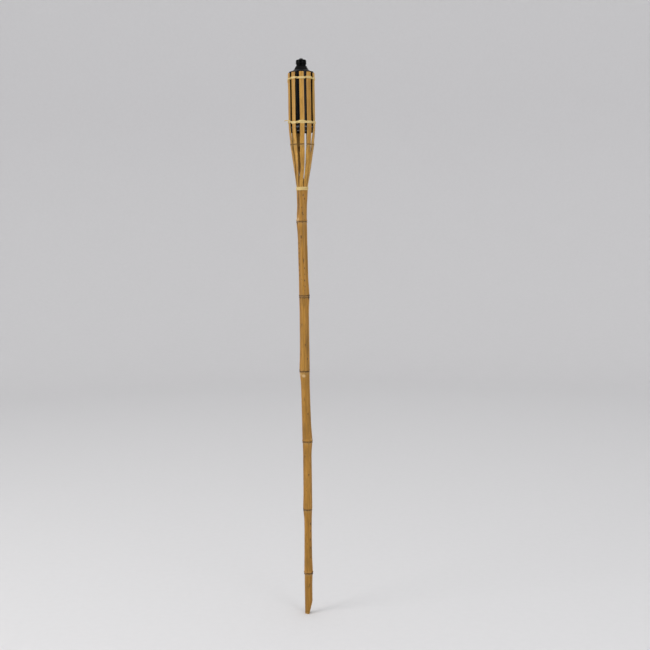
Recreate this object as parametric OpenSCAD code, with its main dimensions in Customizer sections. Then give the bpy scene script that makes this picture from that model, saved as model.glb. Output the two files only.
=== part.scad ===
// Bamboo garden torch: a culm cut to a stake at its foot and split into ten slats at its head. The slats are
// spread into a basket that holds an oil canister, and the canister carries a wick burner with a snuffer cap.
// Millimetres, +Z up. The origin is on the axis of the lowest internode, at the level of the stake's tip.

/* [Pole] */
// Length of the culm from the tip to the roots of the slats
culm_len = 930; // [750:5:1150]
// Diameter of a middle internode
culm_d = 19; // [15:0.5:22]
// Wall of the hollow internodes
culm_wall = 4.2; // [3:0.1:5]
// Diameter of the lowest internode, which goes into the ground
stake_d = 17; // [13:0.5:19.5]
// Height that the slanted cut reaches up the stake
stake_cut_h = 28; // [18:1:34]
// Width of the blunt point that the cut leaves
stake_point_w = 9; // [6:0.5:11]

/* [Basket] */
// Diameter of the culm where it is split
neck_d = 23.6; // [20:0.2:28.4]
// Number of slats, an even number so that the lashings close
slat_n = 10; // [8:2:12]
// Length of a slat, root to top
slat_len = 240; // [200:1:300]
// Width of a slat at its top
slat_w = 10; // [8:0.5:12.5]
// Thickness of a slat
slat_t = 2.2; // [1.6:0.1:2.8]
// Height of the binding round the neck
binding_h = 7.4; // [5:0.2:10]
// Thickness of the binding
binding_t = 0.7; // [0.5:0.1:1.5]
// Height of a lashing strand where it crosses a slat
strand_h = 4.7; // [3:0.1:6]
// Thickness of a lashing strand
strand_t = 0.8; // [0.6:0.1:1.2]

/* [Canister] */
// Outer diameter of the canister's wall
can_d = 49.8; // [41.5:0.1:60]
// Height of the canister, seam to seam
can_h = 126; // [105:1:152]
// Thickness of the tin
tin_t = 0.5; // [0.4:0.05:0.7]
// How far the top seam stands out from the wall
top_seam_out = 1.05; // [0.9:0.05:1.1]
// Height of a seam
seam_h = 3; // [2.5:0.1:4]
// How far the canister's rim stands above the slats
rim_rise = 3.6; // [3.4:0.1:8]

/* [Burner] */
// Outer diameter of the filler neck
filler_d = 22; // [19:0.5:27]
// Rise of the screw thread in one turn
thread_pitch = 3; // [2.6:0.1:3.2]
// How far the cone of the collar stands out past its threaded skirt
collar_rim = 2.15; // [1.2:0.05:4]
// Diameter of the wick
wick_d = 9.6; // [7.5:0.1:11.6]
// Outer diameter of the snuffer cap
cap_d = 21; // [17.5:0.1:24]
// Height of the snuffer cap, without its knob
cap_h = 9.5; // [9:0.5:14]

/* [Hidden] */
$fn = 96;
gap = 0.3;          // between bodies that slide past each other
seat = 0.05;        // between bodies that rest on each other
lash_gap = 0.06;    // between a strand and a slat

// Growth of the culm at each node: depth below the split, sideways drift x and y, how much wider than a middle
// internode the ridge is, and how much wider the internode below it is.
culm_growth = [
    [70, -2.7, 1, 4.6, 1.5],
    [230, -0.7, -1.5, 4.7, 1.4],
    [392, -1.2, 2, 3.6, 0.2],
    [546, 1.4, 1, 4.2, -0.1],
    [696, 1.2, -1.5, 0.6, -2.3],
    [839, 0, 0, 1.8, -2]
];
top_girth = 1.6;      // how much wider than a middle internode the one under the basket is
ridge_h = 10;       // height of the swelling at a node
waist = 0.5;        // how much an internode narrows between its ends
septum_t = 6;       // thickness of the wood that closes the culm at a node
neck_swell_h = 32;  // height over which the culm widens below the split
lowest_node = 60;   // a node nearer the tip than this is cut away

nodes = [for (g = culm_growth) if (culm_len - g[0] > lowest_node) g];
last = len(nodes) - 1;
function node_at(i) = [nodes[i][1], nodes[i][2], culm_len - nodes[i][0]];
function ridge_r(i) = (culm_d + nodes[i][3]) / 2;
function girth_r(i) = (i == last ? stake_d : culm_d + (i < 0 ? top_girth : nodes[i][4])) / 2;

// Basket
pitch = 360 / slat_n;
neck_r = neck_d / 2;
binding_top = culm_len + 3.4;
can_r = can_d / 2;
slat_top = culm_len + slat_len;
can_top_z = slat_top + rim_rise;
can_z = can_top_z - can_h;
basket_in = can_r + gap + strand_t + 2 * lash_gap;
basket_out = basket_in + slat_t;
flare_share = 0.87;     // how far through its flare a slat is at the canister's bottom
flare_z = culm_len + 3.6;
flare_len = (can_z - flare_z) / flare_share;
upright_shares = [0.76, 0.82, 0.88, 0.94, 1];
knee_share = 0.82;      // how much of the flare the slats have done at their node
head_node_z = can_z - 25.6;
slat_gap = 0.3;
slat_corner = 1.2;
lower_lash_z = max(can_z + 21, flare_z + flare_len + 0.8 * strand_h);    // never on the flare
upper_lash_z = slat_top - 11.5;

// Canister
bottom_seam_r = can_r - 0.4;
necked_r = bottom_seam_r - tin_t;
neck_in_z = 8;          // where the wall starts to narrow, above the canister's bottom
neck_in_h = 3.6;
hem = 1;                // metal under the folded edge of a seam
rim_r = can_r + top_seam_out;

// Burner, with heights counted from the canister's rim
filler_r = filler_d / 2;
filler_wall = 1;
thread_h = 0.9;
thread_w = 1.1;
thread_turns = 1.5;
thread_clear = 0.4;
thread_seg = 30;
collar_bore = filler_r + thread_h + thread_clear;
collar_wall = 1.2;
recess_z = can_top_z - 1;
recess_r = collar_bore + collar_wall + 1.7;
shoulder_z = can_top_z + 3.8;
thread_z = recess_z + 1;
filler_top = thread_z + thread_turns * thread_pitch + 0.85 - seat;
gasket_t = 0.8;
flange_z = filler_top + seat + gasket_t;
flange_t = 0.8;
ceiling_z = flange_z + flange_t + gap;
collar_r = collar_bore + collar_wall + collar_rim;
skirt_z = can_top_z + 4.8;
cup_r = cap_d / 2 - 0.25;
collar_top = ceiling_z + 5.4;
wick_r = wick_d / 2;
tube_in = wick_r + 0.4;
tube_out = tube_in + 0.8;
cup_z = collar_top + gap;
cap_z = cup_z + 3.2;
cap_wall = 0.6;
cap_lip = 0.95;
spigot_r = cap_d / 2 - cap_wall - 0.4;
spigot_h = 2.2;
tube_top = cap_z + spigot_h + 0.3;
wick_low = can_z + 12.4;
wick_top = tube_top + 1.2;

slat_names = [for (i = [1 : slat_n]) str("slat_", i < 10 ? "0" : "", i)];

bamboo = "#a87c3a";
split_bamboo = "#c19549";
rattan = "#d6be7d";
black_tin = "#14161c";
dark_steel = "#323030";

// Turns what stands along +Z at the origin so that it stands on a and points to b.
module along(a, b) {
    d = b - a;
    translate(a)
        rotate([0, acos(d[2] / norm(d)), atan2(d[1], d[0])])
            children();
}

// One internode: a little narrower between its ends.
module internode(a, b, r_low, r_high) {
    h = norm(b - a);
    steps = 6;
    along(a, b)
        rotate_extrude()
            polygon(concat(
                [[0, 0]],
                [for (k = [0 : steps]) let (s = k / steps)
                    [r_low + (r_high - r_low) * s - waist * sin(180 * s), h * s]],
                [[0, h]]));
}

// The hollow of an internode, closed by a septum at each end.
module pith(a, b, r_low, r_high) {
    h = norm(b - a);
    along(a, b)
        translate([0, 0, septum_t / 2])
            cylinder(h = h - septum_t, r1 = r_low - culm_wall, r2 = r_high - culm_wall);
}

// The swelling at a node, with the scar of the leaf sheath under its ridge.
module node_ridge(i) {
    r = ridge_r(i);
    foot_r = min(girth_r(i), girth_r(i - 1)) - waist;
    half = ridge_h / 2;
    translate(node_at(i))
        rotate_extrude()
            polygon([
                [0, -half], [foot_r, -half], [r - 1.1, -1.8], [r - 0.7, -0.9], [r, -0.2],
                [r, 0.7], [r - 0.6, 1.6], [foot_r, half], [0, half]
            ]);
}

// The removed side of the stake's foot: a slanted half-space.
module stake_cut() {
    x_point = stake_point_w - stake_d / 2;
    lean = atan2(stake_d / 2 - x_point, stake_cut_h);
    translate([x_point, -stake_d, 0])
        rotate([0, lean, 0])
            translate([0, 0, -stake_d])
                cube([2 * stake_d, 2 * stake_d, 2 * stake_cut_h + 2 * stake_d]);
}

module culm() {
    foot = [0, 0, 0];
    head = [0, 0, culm_len];
    color(bamboo)
        difference() {
            union() {
                translate(foot)
                    cylinder(h = node_at(last)[2], r = stake_d / 2);
                for (i = [1 : last])
                    internode(node_at(i), node_at(i - 1), girth_r(i - 1), girth_r(i - 1));
                internode(node_at(0), head, girth_r(-1), neck_r - 1.8);
                for (i = [0 : last])
                    node_ridge(i);
                translate(head)
                    rotate_extrude()
                        polygon([
                            [0, -neck_swell_h], [neck_r - 3.8, -neck_swell_h], [neck_r, -8], [neck_r, 0], [0, 0]
                        ]);
            }
            translate([0, 0, -1])
                cylinder(h = node_at(last)[2] - septum_t / 2 + 1, r = stake_d / 2 - culm_wall);
            for (i = [1 : last])
                pith(node_at(i), node_at(i - 1), girth_r(i - 1), girth_r(i - 1));
            along(node_at(0), head)
                translate([0, 0, septum_t])
                    rotate([0, 0, 100])
                        cylinder(h = 2 * nodes[0][0], r1 = girth_r(-1) - culm_wall, r2 = 2 * neck_r - girth_r(-1));
            translate([-50, -50, culm_len])
                cube([100, 100, 50]);
            stake_cut();
        }
}

// Outer radius of the basket at a height: the slats lean straight out from the neck as far as their node, and then
// turn upright round the canister.
function ease(t) = t <= 0 ? 0 : t >= 1 ? 1 : t * t * (3 - 2 * t);
function flare_at(z) = max(
    min(1, (z - flare_z) / (head_node_z - flare_z)) * knee_share, ease((z - flare_z) / flare_len));
function basket_r(z) = neck_r + (basket_out - neck_r) * max(0, flare_at(z));

module slat_profile() {
    heights = concat(
        [culm_len, flare_z, head_node_z],
        [for (share = upright_shares) flare_z + flare_len * share],
        [slat_top]);
    top = len(heights) - 1;
    polygon(concat(
        [for (z = heights) [basket_r(z), z]],
        [for (k = [top : -1 : 0]) [basket_r(heights[k]) - slat_t, heights[k]]]));
    // What is left of the node that crossed the culm here
    r = basket_r(head_node_z);
    polygon([
        [r - slat_t - 1.3, head_node_z - 0.9], [r + 0.3, head_node_z - 0.7],
        [r + 0.3, head_node_z + 0.7], [r - slat_t - 1.3, head_node_z + 0.9]
    ]);
}

// One tenth of the split culm: radial split faces at the root, and a strip of nearly even width above.
module slat(i) {
    wedge = pitch - slat_gap / neck_r * 180 / PI;
    root_w = neck_d * sin(wedge / 2) + 1;
    w = slat_w / 2;
    color(split_bamboo)
        rotate([0, 0, (i - 1) * pitch - 90])
            intersection() {
                rotate([0, 0, -wedge / 2])
                    rotate_extrude(angle = wedge)
                        slat_profile();
                rotate([90, 0, 90])
                    linear_extrude(height = 2 * basket_out)
                        polygon([
                            [-root_w / 2, culm_len - 1], [root_w / 2, culm_len - 1],
                            [w, slat_top - slat_corner], [w - slat_corner, slat_top],
                            [slat_corner - w, slat_top], [-w, slat_top - slat_corner]
                        ]);
            }
}

// Turns of split cane wound round the neck, just under the flare.
module neck_binding() {
    turns = 4;
    turn_h = binding_h / turns;
    z = binding_top - binding_h;
    outer = [for (k = [0 : turns - 1]) each [
        [neck_r + binding_t - 0.15, z + turn_h * k],
        [neck_r + binding_t, z + turn_h * (k + 0.25)],
        [neck_r + binding_t, z + turn_h * (k + 0.75)]
    ]];
    color(rattan)
        rotate_extrude()
            polygon(concat([[neck_r, z]], outer,
                [[neck_r + binding_t - 0.15, z + binding_h], [neck_r, z + binding_h]]));
}

// A lashing is two flat strands twined about each other: each passes outside one slat and inside the next, and
// they cross in the gaps, where they are pinched narrow. Two pitches make one turn of the twine.
hug = asin(slat_w / 2 / basket_in) + 1.2;                   // half the arc over which a strand lies on a slat
cross = pitch - 2 * hug;                                    // arc of the crossing between two slats
strand_steps = concat([-hug, -hug / 2, 0, hug / 2], [for (k = [0 : 3]) hug + cross * k / 4]);
pinch_h = 1.7;
pinch_off = 1.25;

// Points of a strand's section: its middle at radius r and height z, h tall and t thick.
function strand_ring(a, r, z, h, t) = [
    for (c = [[-1, -1], [1, -1], [1, 1], [-1, 1]])
        [(r + c[0] * t / 2) * cos(a), (r + c[0] * t / 2) * sin(a), z + c[1] * h / 2]
];

// side is 1 where the strand is outside the slat and -1 where it is inside, and it changes sign in each gap.
function strand_rings(z, first_side) = [
    for (i = [0 : slat_n - 1])
        let (side = (i % 2 == 0 ? 1 : -1) * first_side)
            for (s = strand_steps)
                let (
                    over = s <= hug,
                    turn = over ? 0 : 180 * (s - hug) / cross,
                    r_out = basket_out + lash_gap + strand_t / 2,
                    r_in = basket_in - lash_gap - strand_t / 2,
                    r = (r_out + r_in) / 2 + side * cos(turn) * (r_out - r_in) / 2,
                    h = over ? strand_h : pinch_h + (strand_h - pinch_h) * pow(cos(turn), 4)
                )
                    strand_ring(i * pitch - 90 + s, r, z + side * pinch_off * sin(turn), h, strand_t)
];

// Closed tube through rings of four points.
module ring_tube(rings) {
    n = len(rings);
    polyhedron(
        points = [for (q = rings) each q],
        faces = [
            for (k = [0 : n - 1])
                for (c = [0 : 3])
                    let (a = 4 * k + c, b = 4 * k + (c + 1) % 4, step = k == n - 1 ? 4 * (1 - n) : 4)
                        each [[a, b, b + step], [a, b + step, a + step]]
        ],
        convexity = 6);
}

module lashing(z, first_side) {
    color(rattan)
        ring_tube(strand_rings(z, first_side));
}

module lower_lashing_a() {
    lashing(lower_lash_z, 1);
}

module lower_lashing_b() {
    lashing(lower_lash_z, -1);
}

module upper_lashing_a() {
    lashing(upper_lash_z, 1);
}

module upper_lashing_b() {
    lashing(upper_lash_z, -1);
}

// Rolled tin wall, necked in at the bottom.
module can_body() {
    z0 = can_z + hem;
    z1 = can_z + neck_in_z;
    z2 = z1 + neck_in_h;
    z3 = can_top_z - hem;
    color(black_tin)
        rotate_extrude()
            polygon([
                [necked_r - tin_t, z0], [necked_r, z0], [necked_r, z1], [can_r, z2], [can_r, z3],
                [can_r - tin_t, z3], [can_r - tin_t, z2], [necked_r - tin_t, z1]
            ]);
}

// Bottom end: its edge is folded round the foot of the wall, and its panel is raised off the ground.
module can_bottom() {
    chuck_r = necked_r - tin_t;
    panel_z = can_z + seam_h + 0.6;
    color(black_tin)
        rotate_extrude()
            polygon([
                [chuck_r - tin_t, can_z], [bottom_seam_r, can_z], [bottom_seam_r, can_z + seam_h],
                [necked_r, can_z + seam_h], [necked_r, can_z + hem], [chuck_r, can_z + hem],
                [chuck_r, panel_z], [0, panel_z], [0, panel_z - tin_t], [chuck_r - tin_t, panel_z - tin_t]
            ]);
}

// Top end: folded round the wall, a low shoulder, and a well that the filler neck stands in.
module can_top() {
    in_r = can_r - tin_t;
    drop_z = can_top_z - seam_h;
    color(black_tin)
        rotate_extrude()
            polygon([
                [can_r, drop_z], [rim_r, drop_z], [rim_r, can_top_z], [in_r - tin_t, can_top_z],
                [in_r - tin_t, can_top_z - 1.4], [recess_r + 1, shoulder_z], [recess_r, shoulder_z],
                [recess_r, recess_z], [filler_r, recess_z], [filler_r, recess_z - tin_t],
                [recess_r + tin_t, recess_z - tin_t], [recess_r + tin_t, shoulder_z - 2 * tin_t],
                [recess_r + 0.6, shoulder_z - 2 * tin_t], [in_r - tin_t, can_top_z - 2.2],
                [in_r, can_top_z - 2.2], [in_r, can_top_z - hem], [can_r, can_top_z - hem]
            ]);
}

// A thread's ridge: a helix of trapezium sections from the root radius to the crest radius.
module thread(root_r, crest_r) {
    n = round(thread_turns * thread_seg);
    out = sign(crest_r - root_r);
    section = [
        [root_r, -thread_w / 2], [crest_r, -thread_w / 4], [crest_r, thread_w / 4], [root_r, thread_w / 2]
    ];
    points = [
        for (k = [0 : n])
            let (a = 360 * thread_turns * k / n, z = thread_z + thread_pitch * thread_turns * k / n)
                for (q = section) [q[0] * cos(a), q[0] * sin(a), z + q[1]]
    ];
    sides = [
        for (k = [0 : n - 1])
            for (c = [0 : 3])
                let (a = 4 * k + c, b = 4 * k + (c + 1) % 4)
                    each [[a, b, b + 4], [a, b + 4, a + 4]]
    ];
    ends = [[0, 3, 2], [0, 2, 1], [4 * n, 4 * n + 1, 4 * n + 2], [4 * n, 4 * n + 2, 4 * n + 3]];
    faces = concat(sides, ends);
    polyhedron(points = points, faces = out > 0 ? faces : [for (f = faces) [f[2], f[1], f[0]]], convexity = 6);
}

module filler_neck() {
    color(dark_steel)
        union() {
            rotate_extrude()
                polygon([
                    [filler_r - filler_wall, recess_z - 1.2], [filler_r + 2, recess_z - 1.2],
                    [filler_r + 2, recess_z - tin_t], [filler_r, recess_z - tin_t],
                    [filler_r, filler_top], [filler_r - filler_wall, filler_top]
                ]);
            thread(filler_r - 0.2, filler_r + thread_h);
        }
}

module neck_gasket() {
    color("#2a2622")
        translate([0, 0, filler_top + seat])
            difference() {
                cylinder(h = gasket_t, r = filler_r);
                translate([0, 0, -1])
                    cylinder(h = gasket_t + 2, r = filler_r - filler_wall - 0.6);
            }
}

// Plate that seats on the gasket, and the tube that grips the wick.
module wick_holder() {
    color(dark_steel)
        rotate_extrude()
            polygon([
                [tube_in, flange_z], [filler_r - 0.2, flange_z], [filler_r - 0.2, flange_z + flange_t],
                [tube_out, flange_z + flange_t], [tube_out, tube_top], [tube_in, tube_top]
            ]);
}

// Ring pressed onto the tube above the collar: the snuffer cap sits on its step.
module drip_cup() {
    color(dark_steel)
        rotate_extrude()
            polygon([
                [tube_out, cup_z], [cup_r, cup_z], [cup_r, cap_z - seat], [spigot_r, cap_z - seat],
                [spigot_r, cap_z + spigot_h], [spigot_r - 0.8, cap_z + spigot_h],
                [spigot_r - 0.8, cap_z + 0.3], [tube_out, cap_z]
            ]);
}

// Conical collar that screws the holder down on the filler neck.
module screw_collar() {
    skirt_low = recess_z + 0.8;
    color(dark_steel)
        union() {
            rotate_extrude()
                polygon([
                    [tube_out + 0.4, ceiling_z], [collar_bore, ceiling_z], [collar_bore, skirt_low],
                    [collar_bore + collar_wall, skirt_low], [collar_bore + collar_wall, skirt_z - 0.5],
                    [collar_r, skirt_z - 0.5], [collar_r, skirt_z], [cup_r, collar_top],
                    [tube_out + 0.4, collar_top]
                ]);
            rotate([0, 0, 180])
                thread(collar_bore + 0.2, filler_r + thread_clear);
        }
}

module wick() {
    color("#d9d2c0")
        translate([0, 0, wick_low])
            cylinder(h = wick_top - wick_low, r = wick_r);
}

// Pressed cap with a flared lip, a soft shoulder and a low round knob.
module snuffer_cap() {
    r = cap_d / 2;
    z = cap_z;
    shoulder = 1.6;
    knob_r = 3.9;
    top = z + cap_h;
    round_off = [for (a = [0 : 15 : 90]) [r - shoulder * (1 - cos(a)), top - 0.8 - shoulder * (1 - sin(a))]];
    color(black_tin)
        rotate_extrude()
            polygon(concat(
                [
                    [r - cap_wall, z], [r + cap_lip, z], [r + cap_lip, z + 0.8], [r + 0.25, z + 1.5],
                    [r, z + 2.2]
                ],
                round_off,
                [
                    [knob_r + 0.5, top], [knob_r, top + 0.5], [knob_r, top + 1.7], [knob_r - 0.6, top + 2.3],
                    [0, top + 2.5], [0, top - 0.8 - cap_wall], [r - shoulder - 0.2, top - 0.8 - cap_wall],
                    [r - cap_wall, top - 0.8 - cap_wall - 1.4]
                ]));
}

for (i = [1 : slat_n])
    slat(i);
culm();
neck_binding();
lower_lashing_a();
lower_lashing_b();
upper_lashing_a();
upper_lashing_b();
can_body();
can_bottom();
can_top();
filler_neck();
neck_gasket();
wick_holder();
drip_cup();
screw_collar();
wick();
snuffer_cap();
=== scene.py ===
import math
import random
from functools import partial

import bmesh
import bpy
import numpy as np
from mathutils import Matrix, Vector


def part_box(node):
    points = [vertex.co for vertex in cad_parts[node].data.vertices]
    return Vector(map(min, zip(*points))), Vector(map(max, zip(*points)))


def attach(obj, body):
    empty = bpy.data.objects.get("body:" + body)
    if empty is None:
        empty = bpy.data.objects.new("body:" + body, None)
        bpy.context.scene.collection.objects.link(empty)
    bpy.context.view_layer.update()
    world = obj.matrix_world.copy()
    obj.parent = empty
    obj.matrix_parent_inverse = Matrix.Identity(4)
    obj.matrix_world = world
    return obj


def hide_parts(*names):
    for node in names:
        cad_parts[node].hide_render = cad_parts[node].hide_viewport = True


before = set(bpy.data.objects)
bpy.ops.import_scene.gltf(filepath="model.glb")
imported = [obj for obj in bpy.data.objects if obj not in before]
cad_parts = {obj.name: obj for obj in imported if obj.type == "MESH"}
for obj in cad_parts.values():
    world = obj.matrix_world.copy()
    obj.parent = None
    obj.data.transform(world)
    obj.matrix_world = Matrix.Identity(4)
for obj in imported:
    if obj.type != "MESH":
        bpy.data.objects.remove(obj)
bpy.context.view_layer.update()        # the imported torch: bodies pole, canister, burner, collar, wick and snuffer

MM = 0.001
UP = Vector((0, 0, 1))


# ---------------------------------------------------------------------------------------- camera and light

EYE = Vector((0.0434, -2.350, 0.8635))      # where the lens is, in metres
LOOK_DOWN = math.radians(5.485)
ROLL = math.radians(-0.72)
LENS = 60.74


def make_camera():
    """A camera on a stand in front of the torch, a little above its middle, that looks slightly down."""
    data = bpy.data.cameras.new("camera")
    data.lens = LENS
    data.sensor_width = 36.0
    data.clip_start, data.clip_end = 0.05, 40.0
    cam = bpy.data.objects.new("camera", data)
    turn = Matrix.Rotation(math.pi / 2 - LOOK_DOWN, 4, "X") @ Matrix.Rotation(ROLL, 4, "Z")
    cam.matrix_world = Matrix.Translation(EYE) @ turn
    bpy.context.scene.collection.objects.link(cam)
    bpy.context.scene.camera = cam


def soft_box(name, place, target, width, height, watts, tint):
    """A rectangular studio light that faces its target."""
    data = bpy.data.lights.new(name, "AREA")
    data.shape = "RECTANGLE"
    data.size, data.size_y = width, height
    data.energy = watts
    data.color = tint
    light = bpy.data.objects.new(name, data)
    light.location = place
    light.rotation_euler = (Vector(place) - Vector(target)).to_track_quat("Z", "Y").to_euler()
    bpy.context.scene.collection.objects.link(light)


make_camera()


# ----------------------------------------------------------------------------------------------- materials

def linear(code):
    """An sRGB hex colour as linear RGBA."""
    parts = [int(code[i:i + 2], 16) / 255 for i in (1, 3, 5)]
    return tuple(c / 12.92 if c <= 0.04045 else ((c + 0.055) / 1.055) ** 2.4 for c in parts) + (1.0,)


def add_node(tree, kind, out=0, **values):
    """Adds a node with its settings and links, and gives back one of its outputs. Settings go by their own
    names, and inputs by their labels, with _ for a space, or by their places as i0, i1 and so on."""
    made = tree.nodes.new("ShaderNode" + kind)
    for key, value in values.items():
        if hasattr(made, key):
            setattr(made, key, value)
            continue
        label = int(key[1:]) if key[1:].isdigit() else key.replace("_", " ")
        socket = made.inputs[label]
        if isinstance(value, bpy.types.NodeSocket):
            tree.links.new(value, socket)
        else:
            socket.default_value = value
    return None if out is None else made.outputs[out]


# Two colours mixed, where i0 is the share of i7 that is laid over i6, and a value that the mesh carries
TWO_COLOURS = {"kind": "Mix", "data_type": "RGBA", "out": 2}
PAINTED = {"kind": "Attribute", "out": "Fac"}


def new_material(name):
    """An empty material, and the function that adds nodes to it."""
    made = bpy.data.materials.new(name)
    made.use_nodes = True
    made.node_tree.nodes.clear()
    return made, partial(add_node, made.node_tree)


def stretched(node, width_mm, length_mm, shift=0.0):
    """Places for a pattern whose cells are that wide, and that long along the pole."""
    across, along = 1 / (width_mm * MM), 1 / (length_mm * MM)
    return node("Mapping", Vector=node("TexCoord", out="Object"), Scale=(across, across, along),
                Location=(shift, shift * 0.7, shift * 1.3))


def grain(node, width_mm, length_mm, detail=3.0, roughness=0.6, shift=0.0):
    """Noise stretched along the pole: streaks of that width and length, from 0 to 1."""
    return node("TexNoise", Vector=stretched(node, width_mm, length_mm, shift), Scale=1.0, Detail=detail,
                Roughness=roughness)


def skin_colour(node, skin_pale, skin_mid, skin_dark, fibre, cloud):
    """Bamboo skin: fine streaks along the culm, pale or dark as its tone says, with dark veins and
    clouds."""
    streak = grain(node, 3.5, 160, detail=2.0, shift=4.0)
    vein = grain(node, 1.3, 260, detail=2.0, roughness=0.5, shift=31.0)
    light = node("Math", i0=node("MapRange", Value=streak, From_Min=0.35, From_Max=0.65, To_Max=0.6),
                 i1=node("MapRange", Value=fibre, From_Min=0.35, From_Max=0.65, To_Max=0.4))
    tone = node(**PAINTED, attribute_name="tone")
    light = node("Math", operation="MULTIPLY_ADD", i0=tone, i1=0.35, i2=light)
    colour = node(**TWO_COLOURS, i0=node("MapRange", Value=light, From_Min=0.1, From_Max=1.0),
                  i6=linear(skin_mid), i7=linear(skin_pale))
    colour = node(**TWO_COLOURS, i0=node("MapRange", Value=vein, From_Min=0.55, From_Max=0.62, To_Max=0.6),
                  i6=colour, i7=linear(skin_dark))
    return node(**TWO_COLOURS, i0=node("MapRange", Value=cloud, From_Min=0.47, From_Max=0.7, To_Max=0.7),
                i6=colour, i7=linear(skin_dark))


def mould_specks(node, speck_share):
    """Where mould has left specks under the lacquer: small spots a few millimetres long, in groups."""
    spot = grain(node, 2.4, 4.4, detail=2.0, roughness=0.5)
    group = grain(node, 12, 30, detail=1.0, shift=21.0)
    return node("Math", operation="MULTIPLY",
                i0=node("MapRange", Value=spot, From_Min=0.62, From_Max=0.72),
                i1=node("MapRange", Value=group, From_Min=0.45, From_Max=0.62, To_Max=speck_share))


def sheath_scar(node, colour, scar_breaks):
    """Lays the scar of a leaf sheath over the skin: a dark line that wanders and breaks here and there,
    with flakes of crust beside it and a paler waxy band under it. Gives the colour, and how much of each
    place is scar."""
    wander = node("MapRange", Value=grain(node, 2.5, 2.5, shift=3.0), From_Min=0.2, From_Max=0.8, To_Min=-0.7,
                  To_Max=0.7)
    off = node("Math", i0=node(**PAINTED, attribute_name="scar_mm"), i1=wander)
    away = node("Math", operation="ABSOLUTE", i0=off)
    whole = node("MapRange", Value=grain(node, 3.2, 3.2, detail=2.0, shift=13.0), From_Min=0.36, From_Max=0.5,
                 To_Min=1 - scar_breaks)
    scar = node("Math", operation="MULTIPLY", i0=node("MapRange", Value=away, From_Min=1.3, From_Max=0.35),
                i1=whole)
    crust = node("Math", operation="MULTIPLY",
                 i0=node("MapRange", Value=away, From_Min=3.4, From_Max=1.3, To_Max=scar_breaks),
                 i1=node("MapRange", Value=grain(node, 2.6, 1.7, shift=41.0), From_Min=0.5, From_Max=0.58))
    wax = node("Math", operation="MULTIPLY",
               i0=node("MapRange", Value=off, From_Min=-8.0, From_Max=-1.2, To_Max=0.25),
               i1=node("MapRange", Value=off, From_Min=-0.2, From_Max=-1.4))
    colour = node(**TWO_COLOURS, i0=wax, i6=colour, i7=linear("#b39a66"))
    colour = node(**TWO_COLOURS, i0=crust, i6=colour, i7=linear("#4a3018"))
    return node(**TWO_COLOURS, i0=scar, i6=colour, i7=linear("#3f2816")), scar


def flesh_colour(node, fibre):
    """Bamboo flesh, where it was split or cut: dull, with dark ends of fibres 0.7 mm wide."""
    ends = node("TexVoronoi", Scale=1.0, Vector=stretched(node, 0.6667, 16.667))
    flesh = node(**TWO_COLOURS, i0=node("MapRange", Value=ends, From_Min=0.1, From_Max=0.4),
                 i6=linear("#7a5626"), i7=linear("#b48e4e"))
    return node(**TWO_COLOURS, i0=node("MapRange", Value=fibre, From_Min=0.35, From_Max=0.7, To_Max=0.6),
                i6=flesh, i7=linear("#8e6a34"))


def stained_and_shaded(node, colour):
    """Lays single blemishes over a colour: bud scars, spots and scratches, ragged at their edges, and the
    painted shade along the slats' split edges. A value above zero is dark and one below zero is pale."""
    ragged = node("MapRange", Value=grain(node, 1.6, 3.0, shift=17.0), From_Min=0.25, From_Max=0.75,
                  To_Min=-0.22, To_Max=0.22)
    blotch_and_shade = node("Math", i0=node(**PAINTED, attribute_name="stain_and_shade"), i1=ragged)
    # dark blemishes, and painted shade along the slats' split edges
    colour = node(**TWO_COLOURS, i0=node("MapRange", Value=blotch_and_shade, From_Min=0.3, From_Max=0.75, To_Max=0.85),
                  i6=colour, i7=linear("#3c2612"))
    return node(**TWO_COLOURS, i0=node("MapRange", Value=blotch_and_shade, From_Min=-0.3, From_Max=-0.8, To_Max=0.7),
                i6=colour, i7=linear("#cdb083"))


def bamboo_material(name, skin_pale, skin_mid, skin_dark, speck_share, scar_breaks):
    """Bamboo: a hard, waxy outer skin under a thin coat of clear lacquer, over coarse fibrous flesh. The
    skin shows fine streaks along the culm and olive specks, and the sheath scar is a dark rough line. The
    mesh says where the skin is (skin), how far the nearest scar is (scar_mm), each slat's or internode's
    own tone (tone), and its single blemishes together with the painted shade along the slats' split edges."""
    made, node = new_material(name)
    fibre = grain(node, 0.7, 40)                    # fibre bundles, about 0.7 mm apart
    cloud = grain(node, 14, 45, shift=9.0)
    skin_share = node(**PAINTED, attribute_name="skin")
    specks = mould_specks(node, speck_share)

    colour = skin_colour(node, skin_pale, skin_mid, skin_dark, fibre, cloud)
    colour = node(**TWO_COLOURS, i0=specks, i6=colour, i7=linear("#5e4a1e"))
    colour, scar = sheath_scar(node, colour, scar_breaks)
    colour = node(**TWO_COLOURS, i0=skin_share, i6=flesh_colour(node, fibre), i7=colour)
    # blemishes, and painted shade along the slats' split edges
    colour = stained_and_shaded(node, colour)

    # The skin is satin, the flesh and the scar are rougher, and the scar and the specks are sunk in
    rough = node("MapRange", Value=cloud, From_Min=0.3, From_Max=0.7, To_Min=0.33, To_Max=0.46)
    rough = node("Math", i0=rough, i1=node("MapRange", Value=skin_share, To_Min=0.35, To_Max=0.0))
    rough = node("Math", operation="MULTIPLY_ADD", i0=scar, i1=0.3, i2=rough)
    height = node("Math", operation="MULTIPLY_ADD", i0=scar, i1=-1.4,
                  i2=node("Math", operation="MULTIPLY", i0=fibre, i1=0.6))
    height = node("Math", operation="MULTIPLY_ADD", i0=specks, i1=-0.5, i2=height)
    bump = node("Bump", Strength=0.35, Distance=0.12 * MM, Height=height)
    node("OutputMaterial", out=None, Surface=node(
        "BsdfPrincipled", Base_Color=colour, Roughness=rough, IOR=1.5, Specular_IOR_Level=0.3, Normal=bump))
    return made


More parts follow.
